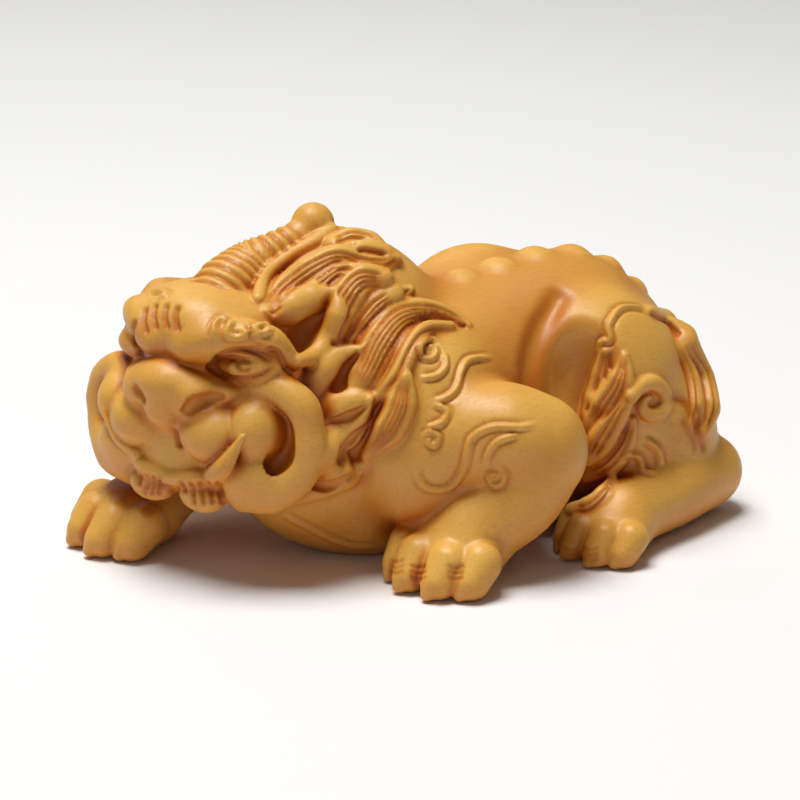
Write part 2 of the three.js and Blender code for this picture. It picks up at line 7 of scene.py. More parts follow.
import bmesh
import bpy
import numpy as np
import openvdb
from mathutils import Euler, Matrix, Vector


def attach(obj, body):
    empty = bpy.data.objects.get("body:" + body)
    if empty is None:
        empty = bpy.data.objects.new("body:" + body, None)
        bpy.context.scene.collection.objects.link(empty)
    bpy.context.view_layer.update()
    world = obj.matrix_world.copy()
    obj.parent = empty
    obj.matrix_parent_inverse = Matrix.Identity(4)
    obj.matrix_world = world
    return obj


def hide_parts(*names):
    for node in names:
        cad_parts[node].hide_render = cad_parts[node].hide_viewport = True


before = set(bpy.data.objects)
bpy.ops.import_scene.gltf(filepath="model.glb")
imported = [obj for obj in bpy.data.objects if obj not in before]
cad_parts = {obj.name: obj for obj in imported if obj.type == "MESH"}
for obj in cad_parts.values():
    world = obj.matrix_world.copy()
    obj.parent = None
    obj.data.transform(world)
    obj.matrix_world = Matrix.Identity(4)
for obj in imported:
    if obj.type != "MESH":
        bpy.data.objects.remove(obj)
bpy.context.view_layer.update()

bl_info = {
    "name": "Boxwood Pixiu",
    "version": (1, 0, 0),
    "blender": (4, 5, 0),
    "location": "View3D > Sidebar > Pixiu",
    "description": "Carves a crouching pixiu in boxwood and sets it on a pale studio floor",
    "category": "Object",
}

MM = 0.001  # metres in a millimetre

# The sight lines of the photograph, mm and pixels of its 800 by 800 frame
AIM = np.array([-1.93, 1.12, 21.2])
DISTANCE = 430.0
AZIMUTH = np.radians(-30.0)
ELEVATION = np.radians(18.0)
FOCAL = 2889.0
MIDDLE = 400.0
SIDE = 800.0
SENSOR = 36.0
RIGHT = np.array([np.cos(AZIMUTH), np.sin(AZIMUTH), 0])
UP = np.array([
    -np.sin(AZIMUTH) * np.sin(ELEVATION),
    np.cos(AZIMUTH) * np.sin(ELEVATION),
    np.cos(ELEVATION),
])
AHEAD = np.array([
    -np.sin(AZIMUTH) * np.cos(ELEVATION),
    np.cos(AZIMUTH) * np.cos(ELEVATION),
    -np.sin(ELEVATION),
])
PIXELS_PER_MM = FOCAL / DISTANCE

# Driving places of the figure, mm
EYE_MIDDLE = np.array([-35.3, 4.0, 32.4])
STAND = np.array([0.79, 1.14, 0.0])  # middle of the ground that the figure covers
BACK_HEIGHT = 39.5

# Places across the body, y in mm, of the planes that the far side's twins are mirrored in
BODY_PLANE = 2.0
RUFF_PLANE = 5.0
MANE_PLANE = 6.0

# The grid that the block of wood is measured on, mm
LOW = np.array([-54.0, -33.0, -3.0])
HIGH = np.array([53.0, 35.0, 55.0])
BAND = 5.0  # the field is true up to this distance from the skin
NEAR = 2.6  # and round the small forms up to this one

# Sizes of the head, mm
HORN_RADII = [4.6, 5.3, 4.5, 3.3, 2.4]  # from the forehead to the ball
FAR_CHEEK_DROP = 1.8
FAR_EYE_SHARE = 0.84  # how far out the far eye is, against the near one

# Sizes of the fine strokes, mm. A width is about half of what is cut or raised.
RIB = -0.5  # a negative depth, because a rib stands up from the skin
BROAD_RIB_WIDTH = 0.42
FINE_RIB_WIDTH = 0.38
FACE_WIDTH = 0.45
STRAND_WIDTH = 0.4
STRAND_SLACK = 0.8  # how far outside its lock a strand may run
STROKE_GAP = 4.0  # a step longer than this ends a stroke
RING_DEPTH = 0.38
RING_WIDTH = 0.34
FLAT_MARGIN = 0.3  # nothing is cut this close to the ground, so the figure rests flat


class PixiuSizes(bpy.types.PropertyGroup):
    """Sizes of the carving that a carver would choose, in millimetres and degrees"""

    head_turn: bpy.props.FloatProperty(
        name="Head turn", description="Degrees the face is turned to the animal's left",
        default=25.0, min=0.0, max=45.0)
    knob: bpy.props.FloatProperty(
        name="Horn ball", description="Radius of the ball at the end of the horn, mm",
        default=3.2, min=2.0, max=5.0)
    toe: bpy.props.FloatProperty(
        name="Toe", description="Radius of a toe, mm", default=3.1, min=2.0, max=4.0)
    ring_pitch: bpy.props.FloatProperty(
        name="Horn rings", description="Distance from one ring of the horn to the next, mm",
        default=1.35, min=0.8, max=3.0)
    strand_depth: bpy.props.FloatProperty(
        name="Strand depth", description="Depth of the cuts between strands of hair, mm",
        default=0.55, min=0.0, max=1.0)
    cell: bpy.props.FloatProperty(
        name="Cell", description="Spacing of the points that the block is measured at, mm",
        default=0.32, min=0.2, max=1.0)
    triangles: bpy.props.IntProperty(
        name="Triangles", description="Most triangles kept on the finished skin",
        default=196000, min=10000, max=199000)


class BoxwoodColours(bpy.types.PropertyGroup):
    """Colours of oiled boxwood and of the studio, as sRGB hex values"""

    # The lit end of the painted shade, on open skin that faces up
    crest: bpy.props.StringProperty(
        name="Crests", description="Colour of the open, rubbed wood", default="EDB856")
    # The shaded end of the painted shade, in cuts, hollows and on undersides; also the colour of the pore
    # flecks
    hollow: bpy.props.StringProperty(
        name="Hollows", description="Colour of the deep cuts, where oil and dust gather", default="842E00")
    # The colour of the rings and the patches, and also the middle of the painted shade
    grain: bpy.props.StringProperty(
        name="Grain", description="Colour of the late rings and pores", default="C0680C")
    floor: bpy.props.StringProperty(
        name="Floor", description="Colour of the studio floor", default="F4F3F1")


def linear(hex_colour):
    """The linear red, green, blue and alpha of an sRGB hex colour."""
    parts = [int(hex_colour[i:i + 2], 16) / 255 for i in (0, 2, 4)]
    return [p / 12.92 if p <= 0.04045 else ((p + 0.055) / 1.055) ** 2.4 for p in parts] + [1.0]


def turned(degrees):
    """The matrix of a turn by degrees about X, then Y, then Z."""
    return np.array(Euler([np.radians(d) for d in degrees], "XYZ").to_matrix())


def smooth_run(points, parts=6):
    """A smooth run through a few points, as points with parts steps between each two."""
    p = np.asarray(points, float)
    if len(p) == 2:
        p = np.array([p[0], (p[0] + p[1]) / 2, p[1]])
    padded = np.vstack([2 * p[0] - p[1], p, 2 * p[-1] - p[-2]])
    t = np.linspace(0, 1, parts, endpoint=False)[:, None]
    spans = []
    for a, b, c, d in zip(padded, padded[1:], padded[2:], padded[3:]):
        spans.append(0.5 * (2 * b + (c - a) * t + (2 * a - 5 * b + 4 * c - d) * t ** 2
                            + (3 * b - a - 3 * c + d) * t ** 3))
    return np.vstack(spans + [p[-1:]])


def blend(a, b, soft):
    """Lower of two distances, with the corner between them rounded over soft mm."""
    h = np.maximum(soft - np.abs(a - b), 0) / soft
    return np.minimum(a, b) - h * h * soft / 4


def nearest_on_run(points, run):
    """For each point, its distance to a run of segments and the share of the run's steps gone there."""
    best = np.full(len(points), np.inf)
    share = np.zeros(len(points))
    for i, (a, b) in enumerate(zip(run, run[1:])):
        along = b - a
        t = np.clip(((points - a) @ along) / max(along @ along, 1e-9), 0, 1)
        d = np.linalg.norm(points - a - t[:, None] * along, axis=1)
        nearer = d < best
        best[nearer] = d[nearer]
        share[nearer] = (i + t[nearer]) / (len(run) - 1)
    return best, share


class Block:
    """The block of wood as a field of distances, and the fine strokes that its skin is cut with."""

    def __init__(self, sizes):
        self.sizes = sizes
        self.cell = sizes.cell
        self.count = np.round((HIGH - LOW) / self.cell).astype(int) + 1
        self.field = np.full(self.count, BAND, np.float32)
        self.strokes = []
        self.hairs = []

    def window(self, low, high):
        """The part of the grid between two corners, and its open axes in mm."""
        a = np.maximum(0, np.floor((low - LOW) / self.cell).astype(int))
        b = np.minimum(self.count, np.ceil((high - LOW) / self.cell).astype(int) + 1)
        axes = [(LOW[i] + self.cell * np.arange(a[i], b[i])).astype(np.float32) for i in range(3)]
        x, y, z = np.ix_(*axes)
        return tuple(slice(p, q) for p, q in zip(a, b)), x, y, z

    def oval(self, centre, radii, turn, reach):
        """Measures an ellipsoid: the window round it and the distances there."""
        centre = np.asarray(centre, float)
        most = max(radii)
        where, x, y, z = self.window(centre - most - reach, centre + most + reach)
        back = turned(turn).T
        dx, dy, dz = x - centre[0], y - centre[1], z - centre[2]
        k0 = 0
        k1 = 0
        for row, radius in zip(back, radii):
            a = ((row[0] * dx + row[1] * dy + row[2] * dz) / radius).astype(np.float32)
            k0 = k0 + a * a
            k1 = k1 + (a / radius) ** 2
        k0 = np.sqrt(k0)
        return where, k0 * (k0 - 1) / np.maximum(np.sqrt(k1), 1e-6)

    def ball(self, centre, radii, turn=(0, 0, 0), soft=1.0):
        """Joins an ellipsoid to the body."""
        reach = BAND if max(radii) > 6 else NEAR + 1
        where, d = self.oval(centre, radii, turn, reach)
        self.field[where] = blend(self.field[where], d, soft)

    def hollow(self, centre, radii, turn=(0, 0, 0), soft=1.0):
        """Cuts an ellipsoid out of the body."""
        where, d = self.oval(centre, radii, turn, soft)
        self.field[where] = -blend(-self.field[where], d, soft)

    def limb(self, points, radii, reach):
        """Measures a tapering round limb: the window round it and the distances there."""
        run = smooth_run(points)
        given = np.linspace(0, 1, len(radii))
        thick = np.interp(np.linspace(0, 1, len(run)), given, radii)
        most = thick.max() + reach
        where, x, y, z = self.window(run.min(0) - most, run.max(0) + most)
        total = np.full([len(range(*s.indices(n))) for s, n in zip(where, self.count)], 1e3, np.float32)
        for a, b, ra, rb in zip(run, run[1:], thick, thick[1:]):
            pad = max(ra, rb) + reach
            part, px, py, pz = self.window(np.minimum(a, b) - pad, np.maximum(a, b) + pad)
            inner = tuple(slice(s.start - w.start, s.stop - w.start) for s, w in zip(part, where))
            u = b - a
            dx, dy, dz = px - a[0], py - a[1], pz - a[2]
            t = np.clip((dx * u[0] + dy * u[1] + dz * u[2]) / max(u @ u, 1e-9), 0, 1)
            gone = np.sqrt((dx - u[0] * t) ** 2 + (dy - u[1] * t) ** 2 + (dz - u[2] * t) ** 2)
            total[inner] = np.minimum(total[inner], gone - ra - (rb - ra) * t)
        return where, total

    def tube(self, points, radii, soft=1.0):
        """Joins a tapering limb to the body."""
        where, d = self.limb(points, radii, BAND if max(radii) > 5 else NEAR)
        self.field[where] = blend(self.field[where], d, soft)

    def groove(self, points, radii, soft=0.6):
        """Cuts a tapering groove into the body."""
        where, d = self.limb(points, radii, soft)
        self.field[where] = -blend(-self.field[where], d, soft)

    def dent(self, pixels, radii, soft=0.5):
        """Cuts a tapering groove along the skin under pixels."""
        self.groove(self.seen(pixels), radii, soft)

    def sample(self, points):
        """The field at any points, from the eight grid points round each."""
        g = np.clip((points - LOW) / self.cell, 0, self.count - 1.001)
        i = np.floor(g).astype(int)
        f = g - i
        total = 0
        for corner in np.ndindex(2, 2, 2):
            c = np.array(corner)
            weight = np.prod(np.where(c == 1, f, 1 - f), axis=1)
            n = i + c
            total = total + weight * self.field[n[:, 0], n[:, 1], n[:, 2]]
        return total

    def outward(self, points):
        """The direction out of the body at each point."""
        step = self.cell
        n = np.stack([self.sample(points + step * e) - self.sample(points - step * e)
                      for e in np.eye(3)], axis=1)
        return n / np.maximum(np.linalg.norm(n, axis=1, keepdims=True), 1e-6)

    def meet(self, start, way, reach=130.0):
        """Where lines from start meet the body, or come nearest to it."""
        touch = 0.02  # mm from the skin that counts as met
        share, shortest, longest = 0.7, 0.05, 1.6  # of each step: its share of the free way, mm, mm
        gone = np.zeros(len(start))
        least = np.full(len(start), np.inf)
        at_least = np.zeros(len(start))
        while (gone < reach).any():
            d = self.sample(start + way * gone[:, None])
            lower = (d < least) & (least > touch)
            least[lower] = d[lower]
            at_least[lower] = gone[lower]
            if (least <= touch).all():
                break
            gone += np.clip(d * share, shortest, longest)
        return start + way * at_least[:, None]

    def seen(self, pixels, plane=None):
        """The points of the body that show at pixels of the photograph. With a plane given, the ones
        that would show there if it were taken from the mirrored place across y = plane."""
        pixels = np.asarray(pixels, float)

        def at(depth):
            spread = (DISTANCE + depth) / FOCAL
            p = (AIM + np.outer((pixels[:, 0] - MIDDLE) * spread, RIGHT)
                 + np.outer((MIDDLE - pixels[:, 1]) * spread, UP) + AHEAD * depth)
            if plane is not None:
                p[:, 1] = 2 * plane - p[:, 1]
            return p

        before, behind = -55.0, 65.0  # mm along the sight lines, well clear of the body
        start = at(before)
        way = at(behind) - start
        return self.meet(start, way / np.linalg.norm(way, axis=1, keepdims=True))

    def lock(self, pixels, radii, sink, soft, plane=None, strands=0):
        """A lock of hair laid under a row of pixels, sunk by part of its radius, with its twin on the
        far side of a plane, and the cuts between its strands."""
        for side in (None,) if plane is None else (None, plane):
            points = self.seen(pixels, side)
            sunk = points - self.outward(points) * (np.array(radii) * sink)[:, None]
            self.tube(sunk, radii, soft)
            self.hairs.append((np.array(pixels, float), np.array(radii), side, sunk, strands))

    def part_hair(self):
        """Cuts the strands of every lock, side by side along it, where it isn't covered. They spread
        over the middle three quarters of its breadth."""
        spread = 1.5
        for pixels, radii, side, middle, strands in self.hairs:
            run = smooth_run(pixels, 4)
            thick = np.interp(np.linspace(0, 1, len(run)), np.linspace(0, 1, len(radii)), radii)
            way = np.gradient(run, axis=0)
            across = np.stack([-way[:, 1], way[:, 0]], 1)
            across /= np.maximum(np.linalg.norm(across, axis=1, keepdims=True), 1e-6)
            for n in range(strands):
                share = ((n + 1) / (strands + 1) - 0.5) * spread
                row = run + across * (thick * PIXELS_PER_MM * share)[:, None]
                points = self.seen(row, side)
                away, _ = nearest_on_run(points, smooth_run(middle))
                kept = away < thick + STRAND_SLACK
                self.add_stroke(points, kept, self.sizes.strand_depth, STRAND_WIDTH)

    def add_stroke(self, points, kept, depth, width):
        """Keeps the runs of points that lie together on the skin as strokes."""
        steps = np.linalg.norm(np.diff(points, axis=0), axis=1)
        together = kept[1:] & kept[:-1] & (steps < STROKE_GAP)
        for piece in np.split(np.arange(len(points)), np.where(~together)[0] + 1):
            if len(piece) > 1:
                self.strokes.append((points[piece], depth, width))

    def cut(self, pixels, depth, width, plane=None, smooth=False):
        """A groove along pixels, depth mm deep and about twice width mm wide. A negative depth raises
        a rib. Its twin lies on the far side of a plane."""
        row = smooth_run(pixels, 5) if smooth else np.asarray(pixels, float)
        for side in (None,) if plane is None else (None, plane):
            points = self.seen(row, side)
            self.add_stroke(points, np.ones(len(points), bool), depth, width)

    def stroke_height(self, points):
        """How far the strokes raise or lower the skin at each point, mm. A stroke fades over the first
        and last seventh of its run, and a rib has a shallow cut along each side."""
        fade = 7
        reach_share = 2.6
        side_depth, side_place, side_width = 0.45, 1.8, 0.6  # shares of the rib's depth and width
        height = np.zeros(len(points))
        for run, depth, width in self.strokes:
            reach = reach_share * width
            inside = ((points > run.min(0) - reach) & (points < run.max(0) + reach)).all(1)
            where = np.flatnonzero(inside)
            if not len(where):
                continue
            d, share = nearest_on_run(points[where], run)
            ends = np.clip(np.minimum(share, 1 - share) * fade, 0, 1)
            profile = np.exp(-(d / width) ** 2)
            if depth < 0:
                beside = (d - side_place * width) / (side_width * width)
                profile -= side_depth * np.exp(-beside ** 2)
            here = -depth * profile * ends
            old = height[where]
            height[where] = np.where(np.abs(here) > np.abs(old), here, old)
        return height


def head(block, ahead, left, above):
    """A point of the head, mm ahead of, left of and above the middle of the eyes."""
    turn = np.radians(block.sizes.head_turn)
    c, s = np.cos(turn), np.sin(turn)
    return EYE_MIDDLE + [-c * ahead + s * left, -s * ahead - c * left, above]


def face_turn(block):
    """The turn of a form that looks the way the face does."""
    return (0, 0, block.sizes.head_turn)


def on_side(block, points, side):
    """Points of a form on one side of the head, left for side 1 and right for side -1."""
    return [head(block, ahead, left * side, above) for ahead, left, above in points]


def carve_trunk(block):
    """The trunk, with the belly flat on the ground, the hips and the neck."""
    block.ball([-9, 2, 19], [16, 15, 18], soft=4)
    block.ball([8, 2, 22], [20, 16, 16], soft=8)
    block.ball([26, 2, 24], [16.5, 14, BACK_HEIGHT - 24], (0, 8, 0), 8)
    block.ball([-13, 6, 31], [13, 13, 14], soft=6)
    block.ball([-7, 6, 36.2], [10, 10, 9], soft=5)
    block.ball([-6, 3, 6], [14, 11, 7], soft=6)
    block.ball([12, 2, 7], [24, 13, 9], soft=6)
    block.ball([35.5, 1, 17], [9.5, 12, 14], soft=6)
    block.ball([-19, 3, 13], [9, 11, 9], soft=5)


def carve_hind_legs(block):
    """Thigh, calf, heel and shank on each side."""
    block.ball([27, -9, 21], [13, 11, 15], soft=4)
    block.ball([33, -13, 13], [10, 7, 9.5], soft=4)
    block.ball([38, -10, 12], [8, 8, 11], soft=4)
    block.tube([[44, -13, 6.4], [34, -17, 6], [24, -20.5, 5.5]], [5.8, 5.8, 5.2], 1.6)
    block.ball([17, 12, 26], [14, 10, 14], soft=3)
    block.ball([33, 13, 16], [11, 9, 13], soft=4)
    block.tube([[42, 15, 7], [33, 20, 6], [22, 23, 5.5]], [5.2, 5.8, 5.2], 1.6)


def carve_forelegs(block):
    """Shoulder, elbow and forearm, and the hollow of the flank behind the left elbow. The right leg
    steps forward."""
    block.ball([-4, -9, 22], [11, 9, 12], soft=5)
    block.ball([-3, -12.5, 16.5], [11.5, 8, 11], soft=3)
    block.tube([[-1, -14, 20], [4, -19, 20], [8, -20.8, 19]], [8.5, 8.2, 7.4], 1.5)
    block.tube([[8, -20.8, 17], [4.4, -21, 12], [-2, -20, 7.5]], [7.2, 6.8, 6], 1.5)
    block.ball([-9, 13, 24], [12, 9, 14], soft=4)
    block.tube([[-9, 17, 20], [-12, 22, 17], [-14, 23, 14]], [8.5, 7.5, 7], 3)
    block.tube([[-14, 23, 14], [-24, 22, 10], [-32, 19.5, 7.5]], [7, 6.3, 5.6], 3)
    block.hollow([18.5, -17, 27], [5, 5, 10], soft=2.5)


def carve_paw(block, centre, turn, scale):
    """A paw: the pad with four rounded toes and their claws, turned by degrees from -X to the left."""
    c, s = np.cos(np.radians(turn)), np.sin(np.radians(turn))

    def place(ahead, left, above):
        return np.array(centre) + np.array([-c * ahead + s * left, -s * ahead - c * left, above]) * scale

    toe = block.sizes.toe
    block.ball(place(-1, 0, 4.5), [6.5 * scale, 7.2 * scale, 5 * scale], (0, 0, turn), 2.5)
    for ahead, left in [(1.8, -6.2), (4.4, -2.5), (4.4, 2.5), (1.8, 6.2)]:
        knuckle = place(ahead - 0.5, left, 4.8)
        tip = place(ahead + 1.6, left, 2.6)
        block.tube([knuckle, tip], [toe * scale, toe * scale * 0.86], 0.7)
        claw = [place(ahead + 2.8, left - 0.4, 2.6), place(ahead + 3.6, left - 0.5, 1.2)]
        block.tube(claw, [1.3 * scale, 1.0 * scale], 0.6)


def carve_skull(block):
    """The skull, before the hair is laid over it."""
    turn = face_turn(block)
    block.ball(head(block, -9, 0, -4), [12, 14, 13], turn, 4)
    block.ball(head(block, -3.5, 0, 3.2), [8.5, 11.5, 7], turn, 3)
    block.ball(head(block, -3.5, 0, -8), [6, 15, 8], turn, 3)
    block.ball(head(block, 0.6, 0.6, 5.2), [4.2, 6.6, 4], turn, 2.5)


def carve_eye(block, side):
    """A long eye with its pupil, under a lid and a heavy brow that comes down to the nose, and the
    pouch below it. The far eye is set a little closer to the middle."""
    turn = face_turn(block)
    out = side if side > 0 else -FAR_EYE_SHARE
    block.hollow(head(block, 2.0, 9.6 * out, 0.3), [1.5, 5.0, 2.1], turn, 0.4)
    block.ball(head(block, -1.7, 9.6 * out, 0.1), [3.5, 5.6, 2.8], turn, 0.2)
    block.ball(head(block, 1.6, 9.6 * out, 0.3), [0.6, 1.1, 1.1], turn, 0.15)
    brow = [[4.2, 3.2, 2.8], [3.2, 6.2, 4.4], [0.8, 10, 5.2], [-2.2, 13.6, 4.4], [-4.6, 16.0, 0.6]]
    block.tube(on_side(block, brow, out), [1.5, 1.9, 2.0, 1.7, 0.9], 2.2)
    lid = [[3.4, 4.2, 0.6], [2.8, 7, 2.6], [1.3, 10.4, 3.0], [-1.0, 13.8, 1.6], [-2.6, 15.2, -0.8]]
    block.tube(on_side(block, lid, out), [0.6, 0.7, 0.75, 0.7, 0.5], 0.3)
    block.ball(head(block, 1.2, 7.0 * side, -3.8), [2.4, 3.2, 1.9], turn, 1.2)


def carve_cheek(block, side):
    """The cheek: a roll that curves from under the eye round the deep corner of the mouth to the jaw.
    The far one starts a little lower than the near one, and its corner is shallow."""
    turn = face_turn(block)
    low, deep = (0.0, 1.0) if side > 0 else (FAR_CHEEK_DROP, 0.45)
    block.ball(head(block, -1.6, 10.5 * side, -15), [6, 6.4, 5], turn, 2)
    upper = [[-1, 9.8, -3.4 - low], [-2, 14, -2.8 - low], [-3.2, 17.8, -5.4 - low], [-3.4, 18.6, -10.4]]
    block.tube(on_side(block, upper, side), [1.8, 2.4, 2.7, 2.7], 0.5)
    lower = [[-3.4, 18.6, -10.4], [-2.6, 17.8, -14.5], [-0.8, 14.6, -17.8], [0.6, 10.4, -19]]
    block.tube(on_side(block, lower, side), [2.7, 2.9, 3.1, 2.3], 1.2)
    corner = [[-0.4, 14.0, -5.8 - low], [-0.2, 15.8, -8], [-0.4, 16, -11.6], [0.6, 14, -15.2]]
    block.groove(on_side(block, corner, side), [1.3 * deep, 2.3 * deep, 2.4 * deep, 1.2 * deep], 0.4)


def carve_nose(block):
    """The broad pug nose with its two wings and the cuts of the nostrils."""
    turn = face_turn(block)
    block.ball(head(block, 3.4, 0, -2.4), [5.4, 5.6, 3.7], turn, 0.4)
    block.ball(head(block, 4.2, 0, -5.4), [4.2, 3.7, 4.2], turn, 1.6)
    for side in (1, -1):
        block.ball(head(block, 3.7, 4.6 * side, -4.0), [3.8, 3.3, 3.2], turn, 1.4)
    block.dent([[185, 413], [196, 406], [210, 401], [222, 397]], [0.8, 1.5, 1.3, 0.5], 0.3)
    block.dent([[137, 391], [141, 397]], [0.9, 1.0], 0.6)


def carve_muzzle(block):
    """The hanging upper lips, the lower lip with its two fangs, the chin tufts, the fine cut down the
    middle of the upper lip, which is laid before the nose is joined on, and the nose."""
    turn = face_turn(block)
    block.ball(head(block, -1, 0, -14), [6.2, 11, 7], turn, 3)
    block.ball(head(block, -1, 0, -9.5), [5.6, 6, 5], turn, 2)
    lip = [head(block, 1.4, -9.4, -14.8), head(block, 4.2, -5, -16), head(block, 4.6, 0, -16.8),
           head(block, 4.2, 5, -16), head(block, 1.4, 9.4, -14.8)]
    block.tube(lip, [1.1, 1.5, 1.3, 1.5, 1.1], 0.5)
    for side in (1, -1):
        block.ball(head(block, -0.6, 12 * side, -8.6), [5.0, 4.0, 4.7], turn, 1.2)
        block.ball(head(block, 1.8, 6.4 * side, -9.6), [5.3, 5.4, 4.6], turn, 0.6)
        block.ball(head(block, 3, 4.6 * side, -19.2), [2.4, 3.9, 2.6], turn, 0.6)
        block.ball(head(block, 0.8, 10.2 * side, -18), [2.6, 3.6, 2.2], turn, 0.6)
    near_fang = [[4.2, 8.2, -15.0], [5.2, 10.4, -13.0], [4.4, 13.2, -8.4]]
    block.tube(on_side(block, near_fang, 1), [1.8, 1.5, 0.4], 0.2)
    far_fang = [[4.4, 6.2, -14.4], [4.6, 9.6, -12.6], [4.0, 13.2, -8.6]]
    block.tube(on_side(block, far_fang, -1), [1.2, 1.0, 0.4], 0.2)
    block.cut([[178, 424], [178, 436], [181, 449]], 0.7, 0.6)
    carve_nose(block)


def horn_path(block):
    """The middle line of the horn, from the forehead to its ball."""
    return [head(block, -3.5, 0.8, 4.6), head(block, -8.6, 0.8, 7.7), head(block, -14, 1.0, 9.8),
            [-19, 8.6, 44.2], [-12.5, 9.4, 46.6]]


def carve_horn(block):
    """The horn along the neck, the ball at its end and the smooth band along its near edge."""
    block.tube(horn_path(block), HORN_RADII, 0.5)
    knob = block.sizes.knob
    block.ball([-11.8, 9.6, 47.6], [knob, knob, knob], soft=0.8)
    band = [[258, 300], [265, 277], [290, 257], [312, 245], [330, 232]]
    block.lock(band, [1.1, 1.3, 1.4, 1.5, 1.4], 0, 0.4)


def carve_ears(block):
    """The near ear lies back: a pointed leaf over a curved rim, with a hollow along the rim. The far
    ear is one plain leaf."""
    block.lock([[276, 318], [292, 308], [312, 301], [334, 289]], [1.4, 2.5, 2.5, 0.6], 0.1, 0.4)
    rim = [[299, 361], [314, 354], [328, 338], [337, 316], [338, 292]]
    block.lock(rim, [0.9, 1.5, 1.9, 1.9, 0.8], 0.2, 0.4)
    block.dent([[298, 352], [300, 338], [309, 326], [324, 314]], [1.2, 1.9, 1.5, 0.5], 0.4)
    far = [[-6, 13, 1.5], [-12, 14.5, 3.5], [-18, 14, 4.5]]
    block.tube(on_side(block, far, -1), [2.4, 3, 0.7], 1)


def carve_mane(block):
    """The mane: locks swept back from the brow over the neck and down to the shoulder."""
    plane = MANE_PLANE
    block.lock([[336, 244], [352, 240], [368, 242], [384, 250]], [2.2, 3, 2.8, 1.4], 0.4, 0.5, None, 4)
    block.lock([[340, 256], [362, 250], [384, 254], [399, 262]], [1.4, 1.8, 1.8, 0.8], 0.2, 0.4, plane, 1)
    swept = [[268, 312], [284, 292], [310, 273], [336, 259], [358, 262], [382, 264], [398, 258]]
    block.lock(swept, [1.4, 2.6, 3.0, 2.2, 1.7, 1.5, 0.7], 0.25, 0.4, plane, 4)
    under = [[284, 312], [302, 296], [324, 284], [340, 272], [360, 270], [386, 271]]
    block.lock(under, [1, 1.6, 1.8, 1.5, 1.3, 0.8], 0.1, 0.4, plane, 2)
    curl = [[372, 276], [384, 280], [392, 290], [402, 294], [411, 289]]
    block.lock(curl, [1.6, 1.6, 1.4, 1.1, 0.6], 0.1, 0.35, plane, 1)
    behind_ear = [[384, 280], [362, 280], [348, 296], [342, 318], [334, 346]]
    block.lock(behind_ear, [1.6, 2.8, 2.9, 2.1, 0.7], 0.2, 0.4, plane, 4)
    second = [[392, 296], [378, 306], [364, 322], [352, 340]]
    block.lock(second, [1.8, 2.2, 1.8, 0.7], 0.1, 0.4, plane, 3)
    shoulder = [[346, 402], [366, 374], [382, 342], [402, 318], [428, 312], [450, 317], [468, 325]]
    block.lock(shoulder, [1.6, 3.0, 3.4, 3.0, 2.2, 1.5, 0.6], 0.2, 0.4, plane, 5)
    edge = [[372, 402], [396, 378], [410, 350], [424, 332], [450, 327]]
    block.lock(edge, [0.9, 1.5, 1.6, 1.4, 0.8], -0.2, 0.35, plane, 1)
    block.lock([[405, 378], [401, 404], [390, 428], [366, 456]], [1.2, 2.5, 2.5, 0.9], 0.1, 0.4, plane, 4)


def carve_ruff(block):
    """The ruff behind the cheeks: broad flames with pointed tips and deep notches between them."""
    plane = RUFF_PLANE
    block.lock([[306, 392], [322, 370], [340, 356], [362, 348]], [3, 3, 1.9, 0.4], 0.1, 0.4, plane)
    block.lock([[318, 425], [338, 410], [355, 402], [373, 396]], [3.2, 3.2, 2.0, 0.5], 0.1, 0.4, plane)
    block.lock([[330, 440], [348, 432], [360, 418], [370, 400]], [2.6, 2.4, 1.8, 0.6], 0.1, 0.4, plane)
    block.lock([[295, 488], [320, 480], [344, 474], [366, 464]], [2.6, 3, 2.4, 0.5], 0.1, 0.4, plane)
    block.lock([[320, 452], [332, 462], [344, 474]], [3, 2.8, 1.6], 0.1, 0.4, plane)
    for notch, radii in [
            ([[339, 387], [343, 374], [357, 355]], [1.3, 1.0, 0.4]),
            ([[330, 422], [349, 417], [366, 407]], [0.5, 0.9, 0.4]),
            ([[343, 457], [347, 447], [358, 433], [371, 421]], [1.3, 1.0, 0.6, 0.3]),
            ([[310, 483], [331, 487], [347, 480], [362, 470]], [0.8, 1.0, 0.8, 0.3])]:
        block.dent(notch, radii, 0.3)


def carve_spine(block):
    """The knobs of the spine from the mane to the root of the tail."""
    for x, r in [(9.5, 3.4), (16, 3.6), (22.5, 3.6), (29, 3.4), (35, 3.0), (40, 2.6)]:
        top = block.meet(np.array([[x, 2.5, 54.0]]), np.array([[0, 0, -1.0]]), 50)[0]
        block.ball(top - [0, 0, r * 0.72], [r, r * 1.15, r], soft=0.8)


def carve_tail(block):
    """The tail laid over the near haunch: two leaves at its root and locks that hang behind."""
    block.lock([[650, 312], [666, 322], [684, 339]], [1.4, 2.6, 0.8], 0.35, 0.4, None, 1)
    block.lock([[668, 322], [684, 340], [699, 359]], [1.4, 2.6, 0.9], 0.55, 0.4, None, 1)
    block.lock([[686, 346], [702, 375], [708, 405], [703, 432]], [2.2, 3.2, 3.2, 1.4], 0.45, 0.6, None, 3)
    block.lock([[680, 350], [692, 378], [695, 405], [690, 425]], [1.6, 2.2, 2, 1], 0.5, 0.5, None, 2)


